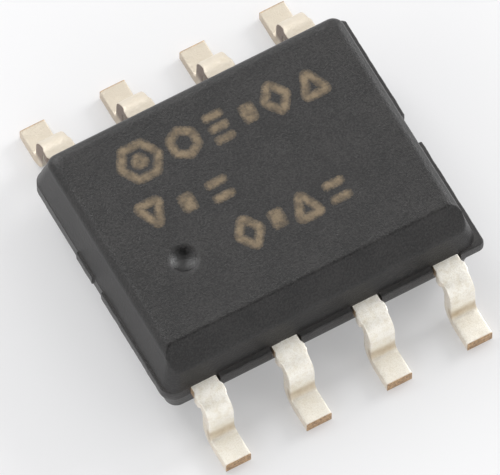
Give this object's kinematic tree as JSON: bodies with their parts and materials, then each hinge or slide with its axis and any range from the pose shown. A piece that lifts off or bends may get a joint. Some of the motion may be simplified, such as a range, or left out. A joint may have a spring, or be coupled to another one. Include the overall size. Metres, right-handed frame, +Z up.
{
  "type": "soic chip",
  "caption": "Small-outline surface-mount chip: dark moulded resin body with a chamfered edge and a dimple, and gull-wing leads along both long sides.",
  "frame": {"origin": "on the seating plane, under the middle of the body", "axes": "+X along the rows of leads from lead 1 to lead 4, +Y across to the row of leads 5 to 8, +Z up from the board"},
  "size_m": [0.005, 0.006, 0.0016],
  "materials": {
    "mould_compound": "matte moulded resin with fine filler grain",
    "tinned_copper": "matte tin plate, bare copper on the cut toe ends",
    "solder": "dull soft solder",
    "silicon": "polished silicon",
    "gold": "bright drawn gold wire"
  },
  "bodies": {
    "root": {"mould_body": "mould_compound", "source_lead_1": "tinned_copper", "gate_lead_2": "tinned_copper", "source_lead_3": "tinned_copper", "gate_lead_4": "tinned_copper", "drain_frame_a": "tinned_copper", "drain_frame_b": "tinned_copper", "die_attach_a": "solder", "die_attach_b": "solder", "die_a": "silicon", "die_b": "silicon", "source_wire_a1": "gold", "source_wire_a2": "gold", "source_wire_a3": "gold", "source_wire_a4": "gold", "gate_wire_a": "gold", "source_wire_b1": "gold", "source_wire_b2": "gold", "source_wire_b3": "gold", "source_wire_b4": "gold", "gate_wire_b": "gold"}
  },
  "joints": []
}
